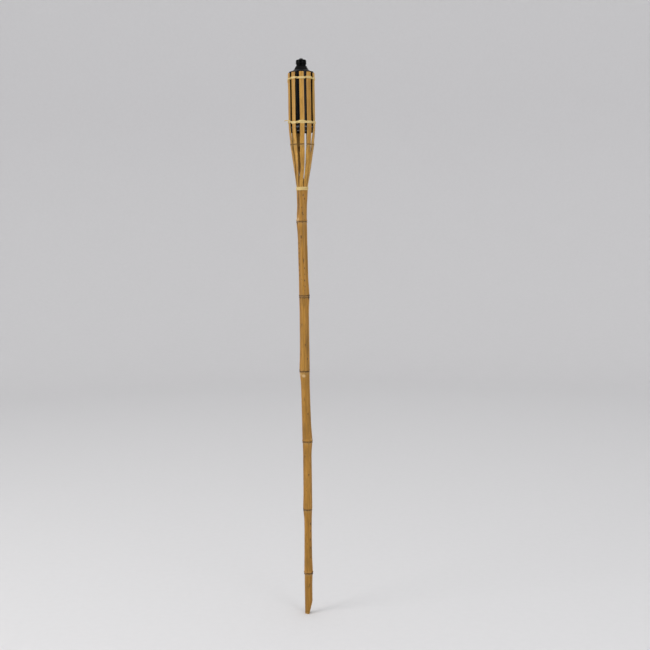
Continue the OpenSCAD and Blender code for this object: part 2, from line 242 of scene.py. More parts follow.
def cane_material():
    """Split cane (rattan core): pale straw, matte to satin, with fine straight pores along the strip. The
    mesh carries run_mm, the distance along the strip, side_mm, the place across it, and tone, the strip's
    own number."""
    made, node = new_material("split_cane")
    pore_len_mm, pore_mm = 9.0, 0.32
    run_mm, side_mm = node(**PAINTED, attribute_name="run_mm"), node(**PAINTED, attribute_name="side_mm")
    along = node("CombineXYZ", X=node("Math", operation="DIVIDE", i0=run_mm, i1=pore_len_mm),
                 Y=node("Math", operation="DIVIDE", i0=side_mm, i1=pore_mm),
                 Z=node(**PAINTED, attribute_name="tone"))
    pores = node("TexNoise", Vector=along, Scale=1.0, Detail=3.0, Roughness=0.65)
    wider = node("Mapping", Vector=along, Scale=(0.35, 0.22, 1.0))
    bands = node("TexNoise", Vector=wider, Scale=1.0, Detail=2.0)
    colour = node(**TWO_COLOURS, i0=node("MapRange", Value=bands, From_Min=0.35, From_Max=0.65),
                  i6=linear("#bd9f5b"), i7=linear("#d8c084"))
    colour = node(**TWO_COLOURS, i0=node("MapRange", Value=pores, From_Min=0.5, From_Max=0.72, To_Max=0.55),
                  i6=colour, i7=linear("#94753a"))
    rough = node("MapRange", Value=bands, From_Min=0.3, From_Max=0.7, To_Min=0.42, To_Max=0.6)
    bump = node("Bump", Strength=0.5, Distance=0.15 * MM, Height=pores)
    node("OutputMaterial", out=None, Surface=node(
        "BsdfPrincipled", Base_Color=colour, Roughness=rough, IOR=1.5, Normal=bump))
    return made


def painted_metal(name, body, dulled, rough_low, rough_high, shine, peel_mm, peel_depth_mm, dust):
    """Paint on pressed steel: the paint's slight orange peel, patches where it has dulled, and flecks of
    dust. Where the mesh marks an edge, a painted highlight is laid on it: pale grey, broken up by noise."""
    made, node = new_material(name)
    place = node("TexCoord", out="Object")
    peel = node("TexNoise", Vector=place, Scale=1 / (peel_mm * MM), Detail=1.5)
    patch = node("TexNoise", Vector=place, Scale=1 / (18 * MM), Detail=4.0, Roughness=0.65)
    fleck = node("TexNoise", Vector=place, Scale=1 / (0.6 * MM), Detail=2.0)
    highlight_breakup = node("TexNoise", Vector=place, Scale=1 / (6 * MM), Detail=3.0)
    # painted highlight mask: the edges that the mesh marks, broken up by noise
    rubbed = node("Math", operation="MULTIPLY", i0=node(**PAINTED, attribute_name="rubbed"),
                  i1=node("MapRange", Value=highlight_breakup, From_Min=0.42, From_Max=0.6))
    colour = node(**TWO_COLOURS, i0=node("MapRange", Value=patch, From_Min=0.45, From_Max=0.75, To_Max=0.5),
                  i6=linear(body), i7=linear(dulled))
    colour = node(**TWO_COLOURS, i0=node("MapRange", Value=fleck, From_Min=0.66, From_Max=0.74, To_Max=dust),
                  i6=colour, i7=linear("#8b8a86"))
    # painted highlight: pale grey laid along the marked edges
    colour = node(**TWO_COLOURS, i0=rubbed, i6=colour, i7=linear("#7d828c"))
    rough = node("MapRange", Value=patch, From_Min=0.35, From_Max=0.7, To_Min=rough_low, To_Max=rough_high)
    bump = node("Bump", Strength=0.3, Distance=peel_depth_mm * MM, Height=peel)
    node("OutputMaterial", out=None, Surface=node(
        "BsdfPrincipled", Base_Color=colour, Roughness=rough, IOR=1.5, Specular_IOR_Level=shine, Normal=bump))
    return made


def rubber_material():
    """Moulded nitrile rubber: near black and dull, with a fine grain from the mould."""
    made, node = new_material("nitrile_rubber")
    fine = node("TexNoise", Vector=node("TexCoord", out="Object"), Scale=1 / (0.4 * MM), Detail=2.0)
    colour = node(**TWO_COLOURS, i0=fine, i6=linear("#1c1a19"), i7=linear("#2b2826"))
    rough = node("MapRange", Value=fine, From_Min=0.3, From_Max=0.7, To_Min=0.7, To_Max=0.85)
    bump = node("Bump", Strength=0.3, Distance=0.05 * MM, Height=fine)
    node("OutputMaterial", out=None, Surface=node(
        "BsdfPrincipled", Base_Color=colour, Roughness=rough, IOR=1.5, Normal=bump))
    return made


def wick_material():
    """Braided glass fibre: off-white yarns, yellowed by oil, and charred over the last few millimetres.
    The mesh carries char, from 0 at the clean braid to 1 at the burnt end."""
    made, node = new_material("braided_glass_fibre")
    yarn = node("TexNoise", Vector=node("TexCoord", out="Object"), Scale=1 / (0.25 * MM), Detail=3.0)
    char = node("Math", i0=node(**PAINTED, attribute_name="char"),
                i1=node("MapRange", Value=yarn, From_Min=0.3, From_Max=0.7, To_Min=-0.25, To_Max=0.25))
    colour = node(**TWO_COLOURS, i0=yarn, i6=linear("#cfc6ab"), i7=linear("#ebe6d6"))
    colour = node(**TWO_COLOURS, i0=node("MapRange", Value=char, From_Min=0.15, From_Max=0.55),
                  i6=colour, i7=linear("#6e5a3a"))
    colour = node(**TWO_COLOURS, i0=node("MapRange", Value=char, From_Min=0.45, From_Max=0.8),
                  i6=colour, i7=linear("#17130f"))
    rough = node("MapRange", Value=yarn, From_Min=0.3, From_Max=0.7, To_Min=0.75, To_Max=0.95)
    bump = node("Bump", Strength=0.6, Distance=0.15 * MM, Height=yarn)
    node("OutputMaterial", out=None, Surface=node(
        "BsdfPrincipled", Base_Color=colour, Roughness=rough, IOR=1.45, Sheen_Weight=0.3, Normal=bump))
    return made


def paper_material():
    """Matt backdrop paper, pale grey, with a tooth too faint to see and drawn coarse, 17 mm across."""
    made, node = new_material("backdrop_paper")
    tooth = node("TexNoise", Vector=node("TexCoord", out="Object"), Scale=1 / (16.7 * MM), Detail=2.0)
    colour = node(**TWO_COLOURS, i0=tooth, i6=linear("#d6d5d7"), i7=linear("#dad9db"))
    rough = node("MapRange", Value=tooth, From_Min=0.3, From_Max=0.7, To_Min=0.85, To_Max=0.95)
    node("OutputMaterial", out=None, Surface=node(
        "BsdfPrincipled", Base_Color=colour, Roughness=rough, Specular_IOR_Level=0.2))
    return made


CULM = bamboo_material("lacquered_bamboo_culm", "#b38238", "#966922", "#785720", speck_share=0.8,
                       scar_breaks=0.85)
SLAT = bamboo_material("lacquered_bamboo_slat", "#cb9d4a", "#a97a30", "#8c6427", speck_share=0.45,
                       scar_breaks=0.25)
CANE = cane_material()
TIN = painted_metal("gloss_black_tinplate", "#030407", "#06080c", rough_low=0.16, rough_high=0.24,
                    shine=0.08, peel_mm=1.6, peel_depth_mm=0.03, dust=0.15)
COLLAR_PAINT = painted_metal("matt_black_stove_paint", "#0b0a0b", "#131213", rough_low=0.5, rough_high=0.62,
                             shine=0.05, peel_mm=0.35, peel_depth_mm=0.03, dust=0.12)
CAP_PAINT = painted_metal("satin_black_enamel", "#020203", "#050506", rough_low=0.2, rough_high=0.3,
                          shine=0.05, peel_mm=0.8, peel_depth_mm=0.02, dust=0.1)
NECK_PAINT = painted_metal("zinc_plated_steel", "#3c3b39", "#4a4845", rough_low=0.35, rough_high=0.5,
                           shine=0.5, peel_mm=0.5, peel_depth_mm=0.02, dust=0.2)
RUBBER = rubber_material()
WICK = wick_material()


# ------------------------------------------------------------------------------------------- mesh building

TOUCHING = 2e-6         # points nearer than this, in metres, are one


def mesh_piece(name, points_mm, faces, material, body, slot, nodes, marks=None, sharp_deg=40):
    """A mesh object from points in millimetres, with its painted values, that rides on a body and stands
    for the given nodes."""
    mesh = bpy.data.meshes.new(name)
    mesh.from_pydata([tuple(p) for p in np.asarray(points_mm, float) * MM], [], faces)
    for key, values in (marks or {}).items():
        painted = mesh.attributes.new(key, "FLOAT", "POINT")
        painted.data.foreach_set("value", np.asarray(values, np.float32).ravel())
    work = bmesh.new()
    work.from_mesh(mesh)
    bmesh.ops.remove_doubles(work, verts=work.verts, dist=TOUCHING)
    bmesh.ops.recalc_face_normals(work, faces=work.faces)
    work.to_mesh(mesh)
    work.free()
    mesh.materials.append(material)
    mesh.shade_smooth()
    mesh.set_sharp_from_angle(angle=math.radians(sharp_deg))
    piece = bpy.data.objects.new(name, mesh)
    bpy.context.scene.collection.objects.link(piece)
    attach(piece, body)
    if nodes:
        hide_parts(*nodes)


def skin(rings, loop=False):
    """Points and faces of a skin over rings of equally many points. loop joins the last ring to the first,
    and otherwise the first and the last ring are closed by a face."""
    rings = np.asarray(rings, float)
    n, m = rings.shape[:2]
    faces = []
    for k in range(n if loop else n - 1):
        a, b = k * m, (k + 1) % n * m
        faces += [(a + j, a + (j + 1) % m, b + (j + 1) % m, b + j) for j in range(m)]
    if not loop:
        faces += [tuple(range(m - 1, -1, -1)), tuple((n - 1) * m + j for j in range(m))]
    return rings.reshape(-1, 3), faces


NEARLY_STRAIGHT = math.radians(84)      # half the angle at a corner that needs no rounding
ARC_STEP = math.radians(22)


def softened(outline, radius, closed=True):
    """Rounds the corners of an outline of (r, z) points in millimetres, and adds a point just past each end
    of an arc, so that the flats beside it stay flat in the light."""
    pts = [Vector(p) for p in outline]
    n = len(pts)
    out = []
    for i, p in enumerate(pts):
        if not closed and i in (0, n - 1):
            out.append(p)
            continue
        a, b = pts[i - 1] - p, pts[(i + 1) % n] - p
        half = a.angle(b) / 2
        if half > NEARLY_STRAIGHT:
            out.append(p)
            continue
        short = min(a.length, b.length)
        cut = min(radius / math.tan(half), 0.42 * short)        # an arc takes less than half of a side
        r = cut * math.tan(half)
        centre = p + (a.normalized() + b.normalized()).normalized() * (r / math.sin(half))
        start, end = p + a.normalized() * cut, p + b.normalized() * cut
        hold = min(0.12 * short, r)
        v0, v1 = start - centre, end - centre
        turn = v0.angle_signed(v1)
        steps = max(2, round(abs(turn) / ARC_STEP))
        out.append(start + a.normalized() * hold)
        for k in range(steps + 1):
            c, s = math.cos(-turn * k / steps), math.sin(-turn * k / steps)
            out.append(centre + Vector((v0.x * c - v0.y * s, v0.x * s + v0.y * c)))
        out.append(end + b.normalized() * hold)
    return [(max(0.0, q.x), q.y) for q in out]


def turned(outline, closed=True, steps=96):
    """Points and faces of an outline of (r, z) points turned about the torch's axis. An outline that isn't
    closed has both ends on that axis or at its rim."""
    rings = []
    for k in range(steps):
        c, s = math.cos(math.tau * k / steps), math.sin(math.tau * k / steps)
        rings.append([(r * c, r * s, z) for r, z in outline])
    points, faces = skin(rings, loop=True)
    m = len(outline)
    if not closed:
        faces = [f for f in faces if f[0] % m != m - 1]
    return points, faces


def joined(*parts):
    """Several (points, faces) as one."""
    points, faces, n = [], [], 0
    for p, f in parts:
        points.append(np.asarray(p, float))
        faces += [tuple(i + n for i in face) for face in f]
        n += len(p)
    return np.concatenate(points), faces


def span(node):
    """A CAD node's lowest and highest corner in millimetres."""
    low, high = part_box(node)
    return low / MM, high / MM


def ease(t):
    """From 0 to 1 as t goes from 0 to 1, level at both ends."""
    t = min(1.0, max(0.0, t))
    return t * t * (3 - 2 * t)


def between(table, z):
    """Straight interpolation in a table of (z, value)."""
    return float(np.interp(z, [row[0] for row in table], [row[1] for row in table]))


dice = random.Random(7)


def wobble(seed, z, size, length):
    """A slow sideways wander in millimetres: three waves, 1, 1/2 and 1/3 of the size, about 1.8 in all."""
    own = random.Random(seed)
    waves = (size / k * math.sin(math.tau * z / (length / k) + own.uniform(0, math.tau)) for k in (1, 2, 3))
    return sum(waves) / 1.8


# ---------------------------------------------------------------------------------------------------- culm

CULM_TOP = span("culm")[1].z
STAKE_R = 8.45
NECK_R = 12.0
NECK_X = -1.45                  # how far to the left of the stake the neck stands
CUT_TOP, CUT_X = 28.0, 1.0      # the slanted cut ends at CUT_TOP on the right, and starts CUT_X from the axis
LEVEL_Z = 38.0                  # from here up, the culm's rings of points are level
WALL = 4.2                      # thickness of the culm's wall at the stake
SEPTUM_Z = 84.0                 # the lower face of the wall across the stake, inside the first node

# Each node's height, how far the culm has drifted there in x and y, the radius of its ridge, the bearing of
# its bud from the front towards +X, and how far the bud swells. Buds alternate from side to side up a culm.
NODES = [
    (91, 0.0, 0.0, 10.3, 80, 1.0), (234, 1.2, -1.5, 9.8, -95, 1.2), (384, 1.4, 1.0, 11.2, 92, 1.5),
    (538, -1.2, 2.0, 11.2, -80, 1.4), (700, -0.7, -1.5, 11.5, 85, 1.1), (860, -2.7, 1.0, 11.7, -72, 1.6)
]
# Radius of the internodes at a height, without ridges and buds
GIRTH = [
    (0, 8.4), (84, 8.45), (98, 9.0), (133, 8.5), (185, 8.1), (215, 8.3), (229, 9.0), (240, 9.5), (300, 9.5),
    (353, 9.3), (376, 9.7), (392, 10.1), (454, 9.6), (507, 9.5), (530, 10.0), (546, 10.6), (607, 10.2),
    (669, 10.1), (692, 10.5), (712, 10.5), (746, 10.1), (789, 10.3), (819, 10.1), (850, 10.5), (870, 10.2),
    (895, 10.5), (912, 11.4), (925, 11.9), (930, 12.0)
]
DOUBLE_SCAR = 700               # the node whose scar healed as two lines
SCAR_REACH = 30.0               # further from a scar than this, its distance no longer matters
TONES = [-0.6, -0.2, 0.3, 0.0, 0.3, -0.1, 0.0]      # how pale each internode is, from the stake up
AXIS = [(0, 0.0, 0.0)] + [row[:3] for row in NODES] + [(CULM_TOP, NECK_X, 0.0)]


# Blemishes of the culm: height, bearing, half height and half width in millimetres, and how dark (or, below
# zero, how pale). First the bud scars of the nodes, then loose specks. MARK_GROWTH is how much taller, wider
# and darker they are drawn.
CULM_MARKS = [
    (857, -62, 2.2, 1.7, 1.3), (863, -70, 6.0, 1.5, -1.0), (864, -45, 4.0, 1.2, -0.9),
    (860, -88, 3.0, 3.0, 0.6), (701, 75, 4.0, 2.4, 0.9), (697, 62, 2.5, 1.5, 0.7),
    (539, -72, 3.0, 2.2, 1.0), (533, -60, 4.0, 2.5, -0.6), (384, 74, 3.0, 2.0, 1.2),
    (388, 62, 4.0, 1.6, -0.7), (234, -70, 2.6, 2.0, 0.9), (92, 66, 2.4, 2.2, 1.2), (916, 12, 1.4, 1.0, 0.9),
    (908, 26, 1.3, 0.9, 0.9), (890, -4, 1.5, 0.9, 0.7), (879, 2, 1.4, 1.0, 0.8), (875, 12, 1.2, 1.0, 0.8),
    (899, 20, 1.8, 0.8, 0.5), (905, -39, 24, 0.9, 0.75), (777, 6, 6.0, 0.8, 0.6), (814, -53, 2.0, 0.9, 0.9),
    (803, -50, 1.6, 0.9, 0.7), (793, -54, 2.2, 1.0, 0.9), (781, -52, 1.6, 0.8, 0.8),
    (769, -50, 2.4, 0.9, 0.8), (757, -54, 1.8, 0.9, 0.8), (746, -52, 2.0, 0.9, 0.9),
    (761, 15, 1.6, 0.8, 0.8), (748, 17, 1.4, 0.8, 0.7), (735, 14, 1.8, 0.9, 0.8), (722, 16, 1.5, 0.8, 0.7),
    (714, 13, 1.2, 0.8, 0.7), (826, -22, 1.8, 0.8, 0.6), (826, -10, 1.8, 0.8, 0.6),
    (829.5, -16, 0.9, 1.6, 0.6), (819, -16, 0.9, 1.6, 0.6), (596, 8, 3.0, 2.0, 0.5),
    (529, -16, 2.4, 3.0, -0.9), (640, -30, 3.0, 0.9, 0.6), (566, 35, 2.0, 1.2, 0.7),
    (478, -20, 5.0, 0.9, 0.5), (446, 24, 2.0, 1.1, 0.7), (352, -35, 3.5, 1.0, 0.6),
    (312, 18, 2.0, 1.2, 0.7), (203, 40, 2.0, 1.1, 0.9), (187, 48, 1.8, 1.2, 0.8), (168, 36, 2.2, 1.0, 0.8),
    (149, 44, 2.0, 1.1, 0.8), (128, 38, 1.6, 1.0, 0.7), (66, 20, 3.0, 1.2, 0.6), (650, 150, 4.0, 1.6, 0.8),
    (430, 200, 3.0, 1.6, 0.8), (300, 130, 5.0, 1.2, 0.7), (800, 170, 3.0, 1.8, 0.8),
    (880, 220, 2.4, 1.4, 0.8), (510, 110, 2.5, 1.5, 0.7)
]
MARK_GROWTH = 1.45, 1.4, 1.35


def axis_at(z):
    """Where the middle of the culm is at a height, as x and y."""
    return between([(a, x) for a, x, y in AXIS], z), between([(a, y) for a, x, y in AXIS], z)


def culm_radius(z, bearing):
    """Outer radius of the culm: the internode, the swelling under each node's bud, which fades slowly away
    from the node, and the node's two ridges with the groove of the sheath scar between them."""
    r = between(GIRTH, z)
    for at, _, _, ridge, bud, swell in NODES:
        d = z - at
        if abs(d) > 70:
            continue
        side = max(0.0, math.cos(math.radians(bearing - bud))) ** 1.5
        r += swell * side * math.exp(-(d / (26 if d > 0 else 17)) ** 2)
        crest = ridge - between(GIRTH, at) - 0.35
        r += crest * (math.exp(-((d - 2.3) / 1.9) ** 2) * 0.9 + math.exp(-((d + 1.6) / 1.2) ** 2) * 0.75)
        r -= 0.3 * math.exp(-(d / 0.55) ** 2)
    return r


def cut_height(x):
    """Where the slanted cut ends a fibre of the stake that stands at x."""
    return max(0.0, (x - CUT_X) * CUT_TOP / (STAKE_R - CUT_X))


def stain_at(spots, z, across):
    """How stained a place is by its spots of (height, place across, half height, half width, darkness)."""
    return sum(dark * math.exp(-((z - at) / tall) ** 2 - ((across - x) / wide) ** 2)
               for at, x, tall, wide, dark in spots)


def scar_distance(z):
    """How far a height is above the nearest scar, or below it as a number under zero."""
    d = min((z - row[0] for row in NODES), key=abs)
    if abs(z - DOUBLE_SCAR) < 20:
        d = abs(d) - 2.0
    return max(-SCAR_REACH, min(SCAR_REACH, d))


def culm_marks_near(z, bearing, r):
    """The culm's blemishes near a place, as spots with that place at 0 across."""
    more_tall, more_wide, more_dark = MARK_GROWTH
    return [(at, math.radians((bearing - b + 180) % 360 - 180) * r, more_tall * tall, more_wide * wide,
             more_dark * dark)
            for at, b, tall, wide, dark in CULM_MARKS if abs(at - z) < tall * 3]


def make_culm():
    """The pole: one skin of level rings of points, except near the cut, where they slope with it."""
    sides = 80
    shares = np.linspace(0, 1, 10)          # of the way from the cut to LEVEL_Z
    heights = []
    z = LEVEL_Z + 2.0
    while z < CULM_TOP - 1.5:
        near = min(abs(z - row[0]) for row in NODES)
        heights.append(z)
        z += 0.45 if near < 5 else 0.9 if near < 9 else 2.0
    heights.append(CULM_TOP)
    bore = STAKE_R - WALL
    rings, skins, scars, tones, stain_and_shade_rows = [], [], [], [], []

    def ring(height_of, radius_of, on_skin):
        row, scar, tone, stain_and_shade = [], [], [], []
        for j in range(sides):
            bearing = 360.0 * j / sides
            a = math.radians(bearing - 90)
            z = height_of(a)
            r = radius_of(z, bearing)
            x, y = axis_at(z)
            row.append((x + r * math.cos(a), y + r * math.sin(a), z))
            scar.append(scar_distance(z))
            stain_and_shade.append(on_skin * stain_at(culm_marks_near(z, bearing, r), z, 0.0))
            tone.append(TONES[sum(bool(z > node[0]) for node in NODES)])
        rings.append(row)
        scars.append(scar)
        tones.append(tone)
        stain_and_shade_rows.append(stain_and_shade)
        skins.append([on_skin] * sides)

    # Up the bore from its septum to the cut, out across the cut, up the skin, and down into the open head
    ring(lambda a: SEPTUM_Z, lambda z, b: 0.01, 0.0)
    ring(lambda a: SEPTUM_Z, lambda z, b: bore - 0.4, 0.0)
    ring(lambda a: 60.0, lambda z, b: bore, 0.0)
    ring(lambda a: cut_height(bore * math.cos(a)) + 0.3, lambda z, b: bore, 0.0)
    for share in (0.0, 0.3, 0.65, 0.97):
        r = bore + WALL * share
        ring(lambda a: cut_height(r * math.cos(a)), lambda z, b: r, 0.0)
    for share in shares:
        sawn = share == 0           # the edge of the cut, which the saw has broken a little
        ring(lambda a: (1 - share) * (cut_height(STAKE_R * math.cos(a)) + 0.25) + share * LEVEL_Z,
             lambda z, b: culm_radius(z, b) - (0.12 if sawn else 0.0), 0.4 if sawn else 1.0)
    for z in heights:
        ring(lambda a: z, culm_radius, 1.0)
    for down, r in ((0, NECK_R - 2.3), (12, 9.0), (55, 6.5), (62, 5.5), (63, 0.01)):
        ring(lambda a: CULM_TOP - down, lambda z, b: r, 0.0)
    points, faces = skin(rings)
    mesh_piece("bamboo_culm", points, faces, CULM, "pole", "bamboo_culm", ["culm"],
               {"skin": skins, "scar_mm": scars, "tone": tones, "stain_and_shade": stain_and_shade_rows}, sharp_deg=50)


# --------------------------------------------------------------------------------------------------- slats

SLAT_TOP = span("slat_01")[1].z
SLATS = sorted(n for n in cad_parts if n.startswith("slat_"))
CAN_Z = span("can_bottom")[0].z
FLARE_Z = CULM_TOP + 3.6                        # where the slats begin to lean out
FLARE_LEN = (CAN_Z - FLARE_Z) / 0.87            # how much further up they stand upright
HEAD_NODE = CAN_Z - 25.6                        # height of the node that all the slats share
BASKET_R = 0.25 - span("slat_01")[0].y          # the outer face of a slat beside the canister
SLAT_T = 2.2                                    # thickness of a slat at its root
SKIN_CURVE = 15.5                               # radius that a slat's skin keeps, once spread
# Bearings of the splits between the slats at the neck, from the front towards +X: hand splitting left the
# front slat the widest. Then each slat's bearing at its node, its bearing and its width beside the canister,
# and how far its end stands above the CAD model's.
SPLITS = [-32.3, 13.0, 53.6, 88, 122, 158, 196, 232, 264, 296, 327.7]
KNEES = [1.0, 35.5, 64.5, 108, 148, 198, 226, 257, 290.5, 323.8]
BEARINGS = [2, 34.8, 70, 111, 152, 198, 226, 256, 290, 323.4]
WIDTHS = [9.6, 10.5, 10.0, 9.8, 10.2, 9.9, 9.6, 10.1, 9.9, 8.7]
TOP_RISE = [1.7, 1.4, 0.2, 0.6, 1.2, 0.3, 0.9, 0.1, 0.4, 1.5]


def basket_radius(z):
    """Radius to the skin of the slats, which lean out from the neck to their node and turn upright round
    the canister."""
    lean = 0.82 * min(1.0, (z - FLARE_Z) / (HEAD_NODE - FLARE_Z))
    return NECK_R + (BASKET_R - NECK_R) * max(0.0, lean, ease((z - FLARE_Z) / FLARE_LEN))


def slat_bearing(i, z):
    """Bearing of the middle of slat i at a height: straight over its root, then as the lashings hold it."""
    root = (SPLITS[i] + SPLITS[i + 1]) / 2
    return (root + (KNEES[i] - root) * ease((z - CULM_TOP - 5) / 45)
            + (BEARINGS[i] - KNEES[i]) * ease((z - HEAD_NODE) / 35))


# Blemishes of the slats: the slat, then height, place across it, half height and half width in millimetres,
# and how dark (or, below zero, how pale)
SLAT_MARKS = [
    ("slat_06", 1015, -0.9, 4.6, 2.2, 2.2), ("slat_01", 1060, 1.5, 16, 0.7, 0.5),
    ("slat_01", 1118, 3.2, 2.0, 0.7, 0.8), ("slat_02", 1105, -2.0, 9, 0.6, 0.6),
    ("slat_02", 1012, 3.6, 9, 1.2, 0.9), ("slat_02", 1029, 3.5, 7, 0.9, 0.7),
    ("slat_02", 985, -3.2, 14, 0.9, 0.6), ("slat_02", 1048, 2.5, 5, 1.2, 0.6),
    ("slat_03", 1012, -3.6, 10, 1.1, 0.9), ("slat_10", 1032, -3.8, 8, 0.8, 0.7),
    ("slat_10", 985, 3.0, 20, 0.8, 0.6), ("slat_09", 1014, 3.6, 9, 1.0, 0.9),
    ("slat_09", 1100, 1.0, 22, 1.0, 0.5), ("slat_01", 975, -3.6, 18, 0.9, 0.6),
    ("slat_01", 1150, -1.0, 10, 0.8, -0.5), ("slat_04", 1090, 0.5, 12, 1.0, 0.6),
    ("slat_05", 1045, -2.0, 6, 1.5, 0.7), ("slat_07", 1120, 1.0, 18, 0.8, 0.6),
    ("slat_08", 1075, -1.5, 4, 1.6, 0.8), ("slat_08", 1140, 2.0, 9, 0.7, 0.5)
]


def slat_section(half, thick, crown, inner):
    """Outline of a slat's section as (across, depth) in millimetres, from its left edge round: a crowned
    skin, softly broken edges, and a flat split back that is inner times as wide. Then how much of each
    point is skin."""
    edge = min(0.35, thick * 0.2)
    skin_side = [(half * s, crown * s * s) for s in (-0.93, -0.75, -0.5, -0.25, 0.0, 0.25, 0.5, 0.75, 0.93)]
    right = [(half - 0.08, crown + edge * 0.35), (half, crown + edge),
             (half * (0.35 + 0.65 * inner), thick * 0.62)]
    back = [(half * inner, thick - edge * 0.6), (half * inner - edge, thick)]
    middle = [(half * inner * s, thick) for s in (0.5, 0.0, -0.5)]
    left = [(-u, d) for u, d in reversed(right + back)]
    outline = skin_side + right + back + middle + left
    on_skin = [1.0] * len(skin_side) + [0.7] + [0.0] * (len(right + back) * 2 - 2 + len(middle)) + [0.7]
    return outline, on_skin


def slat_heights(top_z):
    """Heights of a slat's rings: every 3 mm, and closer at its node and its end."""
    zs = [CULM_TOP - 4.0, CULM_TOP] + list(np.arange(CULM_TOP + 3, SLAT_TOP - 2.2, 3.0))
    zs += [HEAD_NODE + d for d in (-4, -2.2, -1.4, -0.8, -0.3, 0.3, 0.8, 1.4, 2.2, 4)]
    zs += [top_z - d for d in (1.8, 1.2, 0.8, 0.5, 0.2, 0.0)]
    zs = sorted(set(round(z, 2) for z in zs))
    return [z for z in zs if not any(0 < abs(z - HEAD_NODE - d) < 0.25 for d in (-0.3, 0.3))]


def make_slat(i, node):
    """Slat i, from inside the binding to its end: its section is swept up along its lean."""
    top_z = SLAT_TOP + TOP_RISE[i]
    root_half = NECK_R * math.sin(math.radians(SPLITS[i + 1] - SPLITS[i]) / 2) - 0.16
    spots = [row[1:] for row in SLAT_MARKS if row[0] == node]
    tone = dice.uniform(-0.6, 0.6)
    rings, skins, scars, stain_and_shade_rows = [], [], [], []
    for z in slat_heights(top_z):
        free = ease((z - CULM_TOP - 4) / 60)                    # how far it has left its neighbours
        spread = ease((z - CULM_TOP) / 85)                      # how far it has grown to its own width
        a = math.radians(slat_bearing(i, z) + free * wobble(i * 3 + 1, z, 0.7, 210) - 90)
        out = Vector((math.cos(a), math.sin(a), 0))
        side = Vector((-math.sin(a), math.cos(a), 0))
        half = root_half * (1 - spread) + WIDTHS[i] / 2 * spread + free * wobble(i * 3 + 2, z, 0.12, 90)
        thick = SLAT_T + 0.25 * spread
        crown = half * half / (2 * (NECK_R + (SKIN_CURVE - NECK_R) * spread))
        half *= 0.86 + 0.14 * math.sqrt(ease((top_z - z) / 1.6))            # broken edges at the top
        head = z - HEAD_NODE
        swell = 0.38 * math.exp(-((head - 1.1) / 1.0) ** 2) + 0.3 * math.exp(-((head + 1.1) / 0.9) ** 2)
        stub = 1.3 * math.exp(-(head / 1.2) ** 4)                           # what is left of the septum
        r = basket_radius(z) + 0.15 * free + swell + free * wobble(i * 3, z, 0.25, 160)
        x0 = NECK_X * (1 - ease((z - CULM_TOP) / 70))
        outline, on_skin = slat_section(half, thick, crown, 0.78 + 0.17 * spread)
        slope = (basket_radius(z - 1) - basket_radius(z + 1)) / 2
        tilt = 1 / math.hypot(1, slope)
        row = []
        for u, d in outline:
            deep = d + (stub if d > thick * 0.7 else 0.0)
            p = out * (r - deep * tilt) + side * u
            row.append((p.x + x0, p.y, z + deep * tilt * slope))
        rings.append(row)
        skins.append(on_skin)
        scars.append([max(-SCAR_REACH, min(SCAR_REACH, head))] * len(outline))
        crease_shade = 0.75 - 0.45 * ease((z - CULM_TOP - 20) / 60)                # painted shade along the split edges, darkest at the neck
        # the slat's blemishes, plus painted shade along its split edges where the slats crowd together
        stain_and_shade_rows.append([stain_at(spots, z, u)
                       + (crease_shade * math.exp(-((half - abs(u)) / 0.7) ** 2) if d < thick * 0.5 else 0.0)
                       for u, d in outline])
    points, faces = skin(rings)
    mesh_piece("bamboo_" + node, points, faces, SLAT, "pole", "bamboo_slat", [node],
               {"skin": skins, "scar_mm": scars, "tone": np.full(np.shape(scars), tone), "stain_and_shade": stain_and_shade_rows},
               sharp_deg=48)


# ------------------------------------------------------------------------------------------------ lashings

def strip_section(width, thick):
    """A cane strip's section as (across, out): a crowned outer face, a flat inner face and round edges,
    each point as a share of half the width and half the thickness."""
    w, t = width / 2, thick / 2
    top = [(w * s, t * (1 - 0.35 * s * s)) for s in (-0.8, -0.4, 0.0, 0.4, 0.8)]
    return top + [(w * 0.96, t * 0.35), (w, -t * 0.2), (w * 0.9, -t * 0.85), (w * 0.45, -t), (-w * 0.45, -t),
                  (-w * 0.9, -t * 0.85), (-w, -t * 0.2), (-w * 0.96, t * 0.35)]


def cane_strip(name, stations, nodes, number, loop=False):
    """A strip of cane through stations of (middle, out direction, width, thickness). Its width lies across
    both the way it runs and the out direction. Its number gives it a grain of its own."""
    rings, runs, sides = [], [], []
    n = len(stations)
    run = 0.0
    for k, (p, out, width, thick) in enumerate(stations):
        before = stations[k - 1][0] if k or loop else p
        after = stations[(k + 1) % n][0] if k < n - 1 or loop else p
        way = (after - before).normalized()
        across = way.cross(out).normalized()
        facing = across.cross(way).normalized()
        run += (p - before).length if k else 0.0
        section = strip_section(width, thick)
        rings.append([tuple(p + across * u + facing * v) for u, v in section])
        runs.append([run] * len(section))
        sides.append([u for u, v in section])
    points, faces = skin(rings, loop=loop)
    mesh_piece(name, points, faces, CANE, "pole", "cane_lashing", nodes,
               {"run_mm": runs, "side_mm": sides, "tone": np.full(np.shape(runs), float(number))},
               sharp_deg=60)


def polar(bearing, r, z):
    """A place by its bearing from the front, its distance from the torch's axis and its height."""
    a = math.radians(bearing - 90)
    return Vector((r * math.cos(a), r * math.sin(a), z))


def outward(p):
    """The level direction from the torch's axis to a place."""
    return Vector((p.x, p.y, 0)).normalized()


STRAND_T = 0.75         # thickness of the cane in the basket's lashings
HUG_R = 27.0            # radius at which a strand meets the edges of the slats


